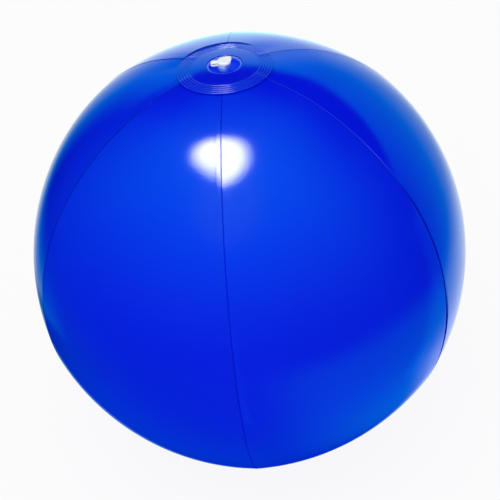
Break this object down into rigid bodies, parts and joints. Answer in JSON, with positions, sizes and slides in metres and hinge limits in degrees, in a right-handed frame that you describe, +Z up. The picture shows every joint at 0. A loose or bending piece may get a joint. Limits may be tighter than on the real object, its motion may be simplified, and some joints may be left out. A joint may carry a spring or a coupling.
{
  "type": "beach ball",
  "caption": "Inflatable beach ball of welded film gores with a ringed disc at each pole and a push-in air valve with a strapped stopper.",
  "frame": {"origin": "centre of the flat patch that the ball rests on", "axes": "+Z up along the axis through both discs, with one seam facing -Y"},
  "size_m": [0.278, 0.282, 0.283],
  "materials": {
    "ball_film": "gloss",
    "skirt_vinyl": "gloss",
    "stem_vinyl": "satin",
    "valve_vinyl": "satin"
  },
  "bodies": {
    "ball": {"gore_panel_1": "ball_film", "gore_panel_2": "ball_film", "gore_panel_3": "ball_film", "gore_panel_4": "ball_film", "gore_panel_5": "ball_film", "gore_panel_6": "ball_film", "crown_disc": "ball_film", "base_disc": "ball_film", "valve_flange": "valve_vinyl", "valve_skirt": "skirt_vinyl"},
    "stem": {"valve_stem": "stem_vinyl", "stopper_strap": "valve_vinyl"},
    "plug": {"stopper": "valve_vinyl"},
    "flap": {"check_flap": "valve_vinyl"}
  },
  "joints": [
    {"name": "valve_pop_out", "type": "slide", "parent": "ball", "child": "stem", "axis": [0, 0, 1], "range_m": [0, 0.014], "deforming": ["valve_skirt"]},
    {"name": "stopper_pull", "type": "slide", "parent": "stem", "child": "plug", "axis": [0, 0, 1], "range_m": [0, 0.009], "deforming": ["stopper_strap"]},
    {"name": "flap_open", "type": "hinge", "parent": "stem", "child": "flap", "pos_m": [0.005, 0, 0.26756], "axis": [0, -1, 0], "range_deg": [0, 70], "stiffness_Nm_per_rad": 0.0005}
  ]
}
